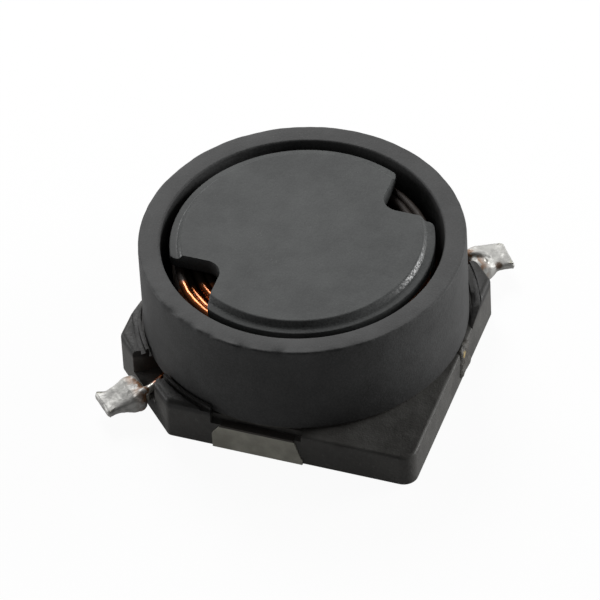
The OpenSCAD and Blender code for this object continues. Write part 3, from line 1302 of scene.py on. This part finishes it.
@dataclass
class Winding(Assembly):
    """The wire: wrapped on tab A, wound on the drum in layers, and wrapped on tab B.

    The stepping turns are spent on the way from each layer out to the next, and bring the wire
    round to terminal B.
    """

    lead: Lead
    layers: int = 4
    stepping_turns: float = 0.5
    slip: float = 0.005
    turn_play: float = 0.012
    flange: float = 0.36
    coil_inset: float = 0.12
    steps_per_turn: int = 56
    lead_spans: int = 5
    sides: int = 12

    def coil(self, low: float, high: float, outer: float) -> list[Vector]:
        """Middle of the wire through all layers.

        Args:
            low: Height of the lowest turn.
            high: Height of the highest turn.
            outer: Radius of the outermost layer.

        Returns:
            The coil's points, starting towards terminal A.
        """
        rise = high - low
        per_layer = math.floor(2 * rise / (self.lead.wire + self.turn_play)) / 2
        step = self.stepping_turns / (self.layers - 1)
        span = per_layer + step
        total = self.layers * per_layer + self.stepping_turns
        pitch = self.lead.wire + 2 * self.slip
        points = []
        steps = math.ceil(total * self.steps_per_turn)
        for i in range(steps + 1):
            t = total * i / steps
            layer = min(self.layers - 1, math.floor(t / span))
            inside = t - layer * span
            stepping = max(0.0, inside - per_layer) / step if layer < self.layers - 1 else 0.0
            radius = outer - pitch * (self.layers - 1 - layer - stepping)
            climbed = min(1.0, inside / per_layer)
            level = low + rise * climbed if layer % 2 == 0 else high - rise * climbed
            angle = math.radians(Side.A.value) + math.tau * t
            points.append(Vector((radius * math.cos(angle), radius * math.sin(angle), level)))
        return points

    def build(self) -> Iterator[bpy.types.Object]:
        """The wire as one round tube.

        Yields:
            The wire.
        """
        low, high = box_of("drum_core")
        margin = self.flange + self.lead.wire / 2 + self.slip
        bottom, outer = low.z + margin, high.x - self.coil_inset
        coil = self.coil(bottom, high.z - margin, outer)
        first = [Side.A.form @ p for p in (*self.lead.wrap(), *self.lead.start())]
        last = [Side.B.form @ p for p in (*self.lead.end(outer, bottom), *reversed(self.lead.wrap()))]
        route = [
            *rounded_route([*first, coil[0]], self.lead_spans)[:-1],
            *coil,
            *rounded_route([coil[-1], *last], self.lead_spans)[1:],
        ]
        wire = Workpiece.swept("winding_wire", route, self.lead.wire / 2, self.sides)
        yield wire.published(Stock.WIRE, "winding", crease=60.0)


@dataclass
class Base(Assembly):
    """The moulded base with its ears, ribs, seat, slots and windows.

    It is square, with two full corners and two that are cut off for the terminals. The ears stand
    beside the cut corners, and the windows are over the lead frames' plates.
    """

    width: float = 6.9
    top: float = 0.8
    top_round: float = 0.07
    stand: float = 0.03
    cut_reach: float = 3.76
    cut_round: float = 0.15
    cut_steps: int = 6
    corner: float = 0.3
    corner_steps: int = 12
    edge_steps: int = 5
    easing: float = 0.022
    seat: float = 2.83
    seat_floor: float = 0.3
    turned_steps: int = 256
    ring: float = 3.4
    ring_play: float = 0.05
    ear_top: float = 1.04
    ear_round: float = 0.11
    ear_front: float = 0.92
    ear_side: float = 0.6
    ear_root: float = 0.2
    ear_easing: float = 0.04
    groove_in: float = 0.07
    groove_out: float = 0.18
    groove_floor: float = 0.94
    ramp_head: float = 1.37
    ramp_crown: float = 1.3
    ramp_bend: float = 1.23
    ramp_dip: float = 0.07
    ramp_skin: float = 0.005
    tab_top: float = 0.42
    tab_skin: float = 0.012
    slot: float = 0.84
    slot_root: float = 0.2
    slot_mouth: float = 0.19
    slot_flare: float = 0.36
    window_left: float = -0.92
    window_right: float = 1.04
    window_low: float = 0.652
    window_depth: float = 0.16

    @property
    def half(self) -> float:
        """Half the width."""
        return self.width / 2

    def outline(self, inset: float) -> list[Point]:
        """The base's outline: two corners rounded and two cut off.

        Args:
            inset: How far it is drawn in on all sides.

        Returns:
            The outline, from terminal A's corner round.
        """
        h, r = self.half - inset, self.cut_round
        c, e = h - self.corner, h - r
        f = (self.cut_reach - inset) * math.sqrt(2) - e - r * math.sqrt(2)
        return [
            *arc((-e, -f), r, 180, 225, self.cut_steps),
            *arc((-f, -e), r, 225, 270, self.cut_steps),
            *arc((c, -c), self.corner, 270, 360, self.corner_steps),
            *arc((e, f), r, 0, 45, self.cut_steps),
            *arc((f, e), r, 45, 90, self.cut_steps),
            *arc((-c, c), self.corner, 90, 180, self.corner_steps),
        ]

    def block(self, name: str, top: float, edge: float) -> Workpiece:
        """A block of that outline with its top edge rounded over.

        Args:
            name: The piece's name.
            top: Height of its top.
            edge: Radius of its top edge.

        Returns:
            The block.
        """
        rings = [[(*p, self.stand) for p in self.outline(0.0)]]
        for i in range(self.edge_steps + 1):
            a = math.pi / 2 * i / self.edge_steps
            level = top - edge * (1 - math.sin(a))
            rings.append([(*p, level) for p in self.outline(edge * (1 - math.cos(a)))])
        return Workpiece.lofted(name, rings)

    def ears(self) -> Workpiece:
        """What stands outside the ring beside the cut corners, with grooves behind thin ribs.

        Returns:
            Both pairs of ears, down to inside the block.
        """
        ears = self.block("ears", self.ear_top, self.ear_round)
        far, front, side = self.half + BEYOND, self.ear_front, self.ear_side
        corner = [(-far, -far), (-front, -far), (-front, -side), (-far, -side)]
        region = Workpiece.prism("region", corner, self.ear_root, ABOVE)
        region.beside(Workpiece.prism("region_b", corner, self.ear_root, ABOVE).moved(HALF_TURN))
        ears.within(region)
        clear = self.ring + self.ring_play
        ears.minus(Workpiece.disc("ring_room", clear, 0.0, ABOVE, self.turned_steps))
        near, out, floor = clear + self.groove_in, clear + self.groove_out, self.groove_floor
        groove = [(near, floor), (out, floor), (out, ABOVE), (near, ABOVE)]
        ears.minus(Workpiece.turned("groove", groove, self.turned_steps))
        past = 0.1
        ramp = [
            (-self.ramp_head, self.ear_top + self.ramp_skin),
            (-self.ramp_bend, self.ear_top - self.ramp_dip),
            (-side, self.top),
            (past, self.top),
            (past, ABOVE),
            (-self.ramp_crown, ABOVE),
        ]
        rings = [[(x, y, z) for y, z in ramp] for x in (-far, -past)]
        for form in HALVES:
            ears.minus(Workpiece.lofted("ramp", rings).moved(form))
        return ears.eased(self.ear_easing, segments=3)

    def cut_slots(self, base: Workpiece) -> None:
        """Cuts the flared slot over each tab, for the wire.

        Args:
            base: The moulding.
        """
        w, wide = self.slot / 2, self.slot / 2 + self.slot_flare
        root, mouth = self.seat - self.slot_root, self.cut_reach - self.slot_mouth
        far = self.cut_reach + BEYOND
        slot = [(root, -w), (mouth, -w), (far, -wide), (far, wide), (mouth, w), (root, w)]
        for side in Side:
            tool = Workpiece.prism("wire_slot", slot, self.tab_top + self.tab_skin, ABOVE)
            base.minus(tool.moved(side.form))

    def cut_windows(self, base: Workpiece) -> None:
        """Cuts the window over each lead frame's plate.

        Args:
            base: The moulding.
        """
        left, right, far = self.window_left, self.window_right, -self.half - BEYOND
        back = -self.half + self.window_depth
        window = [(left, far), (right, far), (right, back), (left, back)]
        for form in HALVES:
            base.minus(Workpiece.prism("window", window, self.window_low, ABOVE).moved(form))

    def build(self) -> Iterator[bpy.types.Object]:
        """The base as one moulding.

        Yields:
            The base.
        """
        base = self.block("base_moulding", self.top, self.top_round)
        base.plus(self.ears())
        base.minus(Workpiece.disc("seat", self.seat, self.seat_floor, ABOVE, self.turned_steps))
        self.cut_slots(base)
        self.cut_windows(base)
        yield base.eased(self.easing).published(Stock.RESIN, "base")


@dataclass(frozen=True)
class Run:
    """How the solder lies on one terminal.

    Each station is its distance from the vertical axis, its reach to the two sides, its half height
    and its rise over the middle of the sheet. The strand is the wire's end that shows as a ridge.
    The lean slants what lies past a distance from the axis.
    """

    seed: float
    lean: float
    strand: Sequence[Place]
    stations: Sequence[tuple[float, float, float, float, float]]
    lean_from: float = 4.2
    lean_over: float = 0.5

    def slant(self, along: float) -> float:
        """How far a point moves outwards for each millimetre that it lies across."""
        return self.lean * max(0.0, (along - self.lean_from) / self.lean_over)

    def sides(self, along: float) -> Point:
        """Reach of the solder to both sides.

        Args:
            along: Distance from the vertical axis.

        Returns:
            Its reach to one side and to the other.
        """
        for a, b in zip(self.stations, self.stations[1:]):
            if along <= b[0]:
                t = max(0.0, (along - a[0]) / (b[0] - a[0]))
                return a[1] + (b[1] - a[1]) * t, a[2] + (b[2] - a[2]) * t
        return self.stations[-1][1], self.stations[-1][2]


RUNS = {
    Side.A: Run(
        2.0,
        0.0,
        ((3.80, 0.19, 0.535), (3.90, 0.25, 0.59), (4.00, 0.30, 0.60), (4.07, 0.34, 0.55)),
        (
            (3.83, 0.24, 0.24, 0.17, 0.01), (3.86, 0.35, 0.35, 0.24, 0.02),
            (3.93, 0.39, 0.40, 0.262, 0.025), (4.04, 0.39, 0.40, 0.262, 0.025),
            (4.14, 0.38, 0.395, 0.25, 0.02), (4.24, 0.36, 0.38, 0.2, 0.015),
            (4.34, 0.345, 0.355, 0.15, 0.01), (4.44, 0.33, 0.32, 0.125, 0.005),
            (4.52, 0.33, 0.305, 0.11, 0.0), (4.60, 0.35, 0.31, 0.10, 0.0),
            (4.66, 0.385, 0.33, 0.095, 0.0), (4.71, 0.39, 0.33, 0.09, 0.0),
            (4.74, 0.34, 0.29, 0.05, 0.0),
        ),
    ),
    Side.B: Run(
        8.5,
        0.10,
        ((3.80, 0.19, 0.535), (3.90, 0.15, 0.60), (4.10, 0.02, 0.61), (4.28, -0.06, 0.50)),
        (
            (3.83, 0.24, 0.24, 0.17, 0.01), (3.86, 0.36, 0.34, 0.24, 0.02),
            (3.93, 0.40, 0.385, 0.262, 0.025), (4.04, 0.40, 0.395, 0.262, 0.025),
            (4.14, 0.385, 0.41, 0.25, 0.02), (4.24, 0.34, 0.42, 0.2, 0.015),
            (4.34, 0.30, 0.43, 0.15, 0.01), (4.44, 0.31, 0.42, 0.125, 0.005),
            (4.52, 0.33, 0.41, 0.11, 0.0), (4.60, 0.36, 0.39, 0.10, 0.0),
            (4.66, 0.39, 0.36, 0.095, 0.0), (4.70, 0.40, 0.34, 0.085, 0.0),
            (4.74, 0.38, 0.31, 0.05, 0.0),
        ),
    ),
}


@dataclass
class Terminals(Assembly):
    """The two lead frames, with the solder that holds the wire on their tabs."""

    lead: Lead
    tab_end: float = 4.7
    cover: float = 0.03
    covered_station: int = 2
    easing: float = 0.018
    section_steps: int = 32
    squareness: float = 0.55
    wire_sides: int = 14
    wrap_spans: int = 4
    wrap_skin: float = 0.006
    strand_spans: int = 6
    strand_sink: float = 0.005
    voxel: float = 0.016
    melt_passes: int = 10
    clearance: float = 0.035

    def body(self, name: str, run: Run) -> Workpiece:
        """Smooth body of the solder from the wrapped neck to the coated tip.

        Args:
            name: The piece's name.
            run: How the solder lies.

        Returns:
            The body in the terminal's own axes, as a skin through squarish sections.
        """
        middle = self.lead.tab_low + self.lead.sheet / 2
        rings = []
        for along, minus, plus, height, rise in run.stations:
            slant = run.slant(along)
            ring = []
            for k in range(self.section_steps):
                angle = math.tau * k / self.section_steps
                c, s = math.cos(angle), math.sin(angle)
                across = (plus if c > 0 else minus) * math.copysign(abs(c) ** self.squareness, c)
                up = height * math.copysign(abs(s) ** self.squareness, s)
                ring.append((along + slant * across, across, middle + rise + up))
            rings.append(ring)
        return Workpiece.lofted(name, rings)

    def solder(self, name: str, run: Run) -> Workpiece:
        """Solder that has run round the wrapped neck and out over the flared end.

        Args:
            name: The piece's name.
            run: How the solder lies.

        Returns:
            The solder in the terminal's own axes.
        """
        radius = self.lead.wire / 2
        wrap = rounded_route(self.lead.wrap(), self.wrap_spans)
        strand = rounded_route([Vector(p) for p in run.strand], self.strand_spans)
        mass = self.body(name, run)
        mass.beside(Workpiece.swept("wrap", wrap, radius + self.wrap_skin, self.wire_sides))
        mass.beside(Workpiece.swept("strand", strand, radius - self.strand_sink, self.wire_sides))
        mass.melted(self.voxel, self.melt_passes)

        def lumpy(point: Vector, normal: Vector) -> Vector:
            """Uneven skin that stays over the board.

            Args:
                point: A point of the skin.
                normal: Its normal.

            Returns:
                The point's new place.
            """
            waves = ((0.016, 0.2, run.seed), (0.004, 0.07, run.seed + 4))
            moved = point + normal * lumps(point, *waves)
            moved.z = max(moved.z, self.clearance)
            return moved

        return mass.reshaped(lumpy)

    def sheet(self, side: Side) -> Workpiece:
        """A lead frame, with its flared end drawn in under the solder.

        Args:
            side: The end of the part that it belongs to.

        Returns:
            The lead frame in its place.
        """
        run, letter = RUNS[side], side.name.lower()

        def covered(point: Vector, normal: Vector) -> Vector:
            """Draws what would show past the solder in under it.

            Args:
                point: A point of the lead frame, in the terminal's own axes.
                normal: Its normal, which isn't used.

            Returns:
                The point's new place.
            """
            if point.x < run.stations[self.covered_station][0]:
                return point
            minus, plus = run.sides(point.x)
            across = max(self.cover - minus, min(plus - self.cover, point.y))
            end = self.tab_end + run.slant(point.x) * across
            return Vector((min(point.x, end), across, point.z))

        piece = Workpiece.copied(f"lead_frame_{letter}", f"terminal_{letter}")
        piece.moved(side.form.inverted()).reshaped(covered).moved(side.form)
        return piece.eased(self.easing, angle=35.0)

    def build(self) -> Iterator[bpy.types.Object]:
        """Both lead frames and both solder joints.

        Yields:
            Each lead frame, followed by its solder.
        """
        for side, run in RUNS.items():
            letter = side.name.lower()
            yield self.sheet(side).published(Stock.SHEET, f"terminal_{letter}")
            joint = self.solder(f"solder_{letter}", run).moved(side.form)
            yield joint.published(Stock.SOLDER, f"solder_joint_{letter}", crease=80.0)


@dataclass
class Glue(Assembly):
    """Glue under the drum and the ring, with two dabs that have run out over the sides.

    Each drop of a dab is its place across the side, its height and its size.
    """

    bore: float = 2.98
    ring: float = 3.36
    bead_low: float = 0.79
    bead_high: float = 0.835
    bead_steps: int = 192
    base_half: float = 3.45
    sink: float = 0.04
    thickness: float = 0.11
    spread: float = 1.3
    stretch: float = 1.35
    bulge: float = 0.08
    voxel: float = 0.022
    melt_passes: int = 12
    drops: Sequence[Place] = (
        (-0.2, 0.24, 0.11), (-0.06, 0.3, 0.13), (0.1, 0.24, 0.14), (0.23, 0.2, 0.1), (-0.14, 0.48, 0.13),
        (0.08, 0.5, 0.14), (-0.16, 0.7, 0.1), (0.0, 0.7, 0.12), (0.16, 0.7, 0.09),
    )

    def dab(self) -> Workpiece:
        """Rough dab over the middle of one side.

        Returns:
            The dab, on the side towards +X.
        """
        lump = Workpiece("dab", [], [])
        for across, level, size in self.drops:
            centre = (self.base_half - self.sink, across, level)
            radii = (self.thickness, self.spread * size, self.stretch * size)
            lump.beside(Workpiece.ball("drop", centre, radii))
        lump.melted(self.voxel, self.melt_passes)

        def rough(point: Vector, normal: Vector) -> Vector:
            """Granular skin within the part's own outline.

            Args:
                point: A point of the skin.
                normal: Its normal.

            Returns:
                The point's new place.
            """
            moved = point + normal * lumps(point, (0.014, 0.14, 5.0), (0.006, 0.05, 1.0))
            moved.x = min(moved.x, self.base_half + self.bulge)
            return moved

        return lump.reshaped(rough)

    def build(self) -> Iterator[bpy.types.Object]:
        """The glue.

        Yields:
            The disc under the drum, and then the bead under the ring with both dabs.
        """
        low, high = box_of("core_adhesive")
        seat = Workpiece.disc("glue_under_drum", high.x, low.z, high.z)
        yield seat.published(Stock.GLUE, "core_adhesive")
        bottom, top = self.bead_low, self.bead_high
        section = [(self.bore, bottom), (self.ring, bottom), (self.ring, top), (self.bore, top)]
        bead = Workpiece.turned("glue_under_ring", section, self.bead_steps)
        for form in HALVES:
            bead.beside(self.dab().moved(form))
        yield bead.published(Stock.GLUE, "ring_adhesive", crease=50.0)


# ------------------------------------------------------------------ studio


@dataclass(frozen=True)
class Lamp:
    """A square soft box that faces the part.

    Its azimuth round the part is counted as the camera's is, and its elevation is over the
    horizon, both in degrees. Its reach and size are in millimetres and its power in watts.
    """

    name: str
    azimuth: float
    elevation: float
    power: float
    reach: float = 70.0
    size: float = 34.0


@dataclass
class Studio:
    """Floor, soft light and camera, in millimetres and degrees."""

    azimuth: float = 21.0
    elevation: float = 44.18
    roll: float = -3.22
    distance: float = 135.1
    lens: float = 390.0
    sensor: float = 36.0
    near: float = 0.005
    far: float = 5.0
    aim: Place = (0.0, 0.0, 1.5)
    slide: Point = (-0.105, -0.214)
    floor_half: float = 400.0
    floor_level: float = -0.012
    surroundings: float = 0.09
    lamps: Sequence[Lamp] = (
        Lamp("key", 214.0, 40.0, 0.046, reach=75.0, size=32.0),
        Lamp("left", -90.0, 6.0, 0.028),
        Lamp("right", 126.0, 15.0, 0.044),
    )

    @staticmethod
    def direction(azimuth: float, elevation: float) -> Vector:
        """Unit vector from the part towards a place round it."""
        a, e = math.radians(azimuth), math.radians(elevation)
        return Vector((math.sin(a) * math.cos(e), -math.cos(a) * math.cos(e), math.sin(e)))

    def camera(self) -> None:
        """The camera, made before anything else looks for it."""
        data = bpy.data.cameras.new("camera")
        data.lens = self.lens
        data.sensor_width = self.sensor
        data.clip_start = self.near
        data.clip_end = self.far
        camera = bpy.data.objects.new("camera", data)
        back = self.direction(self.azimuth, self.elevation)
        level = back.to_track_quat("Z", "Y").to_matrix().to_4x4()
        turn = level @ Matrix.Rotation(math.radians(self.roll), 4, "Z")
        right, up = turn.col[0].to_3d(), turn.col[1].to_3d()
        eye = Vector(self.aim) + back * self.distance + right * self.slide[0] + up * self.slide[1]
        camera.matrix_world = Matrix.Translation(eye * MM) @ turn
        bpy.context.scene.collection.objects.link(camera)
        bpy.context.scene.camera = camera

    def floor(self) -> None:
        """A wide pale floor just under the pads."""
        half, level = self.floor_half * MM, self.floor_level * MM
        mesh = bpy.data.meshes.new("floor")
        corners = [(-half, -half, level), (half, -half, level), (half, half, level), (-half, half, level)]
        mesh.from_pydata(corners, [], [(0, 1, 2, 3)])
        floor = bpy.data.objects.new("floor", mesh)
        bpy.context.scene.collection.objects.link(floor)
        mesh.materials.append(PaleFloor().material())

    def hang(self, lamp: Lamp) -> None:
        """Makes one lamp and turns it to the part.

        Args:
            lamp: The lamp.
        """
        data = bpy.data.lights.new(lamp.name, "AREA")
        data.shape = "SQUARE"
        data.size = lamp.size * MM
        data.energy = lamp.power
        hung = bpy.data.objects.new(lamp.name, data)
        back = self.direction(lamp.azimuth, lamp.elevation)
        hung.location = (Vector(self.aim) + back * lamp.reach) * MM
        hung.rotation_euler = back.to_track_quat("Z", "Y").to_euler()
        bpy.context.scene.collection.objects.link(hung)

    def world(self) -> None:
        """Even grey surroundings that are white to the camera and through glass."""
        world = bpy.data.worlds.new("surroundings")
        world.use_nodes = True
        graph = Graph(world.node_tree)
        either = graph.maths("MAXIMUM", graph.ray("Camera"), graph.ray("Transmission"))
        grey = (self.surroundings, self.surroundings, self.surroundings, 1.0)
        plain = graph.node("ShaderNodeBackground", None, {"Color": grey})
        white = graph.node("ShaderNodeBackground", None, {"Color": (1.0, 1.0, 1.0, 1.0)})
        mixed = graph.node("ShaderNodeMixShader", None, {0: either, 1: plain, 2: white})
        graph.node("ShaderNodeOutputWorld", None, {"Surface": mixed})
        bpy.context.scene.world = world

    def build(self) -> None:
        """Sets up the whole studio."""
        bpy.context.scene.view_settings.view_transform = "Standard"
        self.camera()
        self.floor()
        for lamp in self.lamps:
            self.hang(lamp)
        self.world()


def main() -> None:
    """Builds the studio and every sub-assembly, and logs each piece's face count."""
    logging.basicConfig(level=logging.INFO, format="%(name)s: %(message)s")
    Studio().build()
    lead = Lead()
    for assembly in (Base(), RingCore(), DrumCore(), Winding(lead), Terminals(lead), Glue()):
        for piece in assembly.build():
            LOG.info("%s: %s has %d faces", type(assembly).__name__, piece.name, len(piece.data.polygons))
    bpy.context.view_layer.update()


if __name__ == "__main__":
    main()
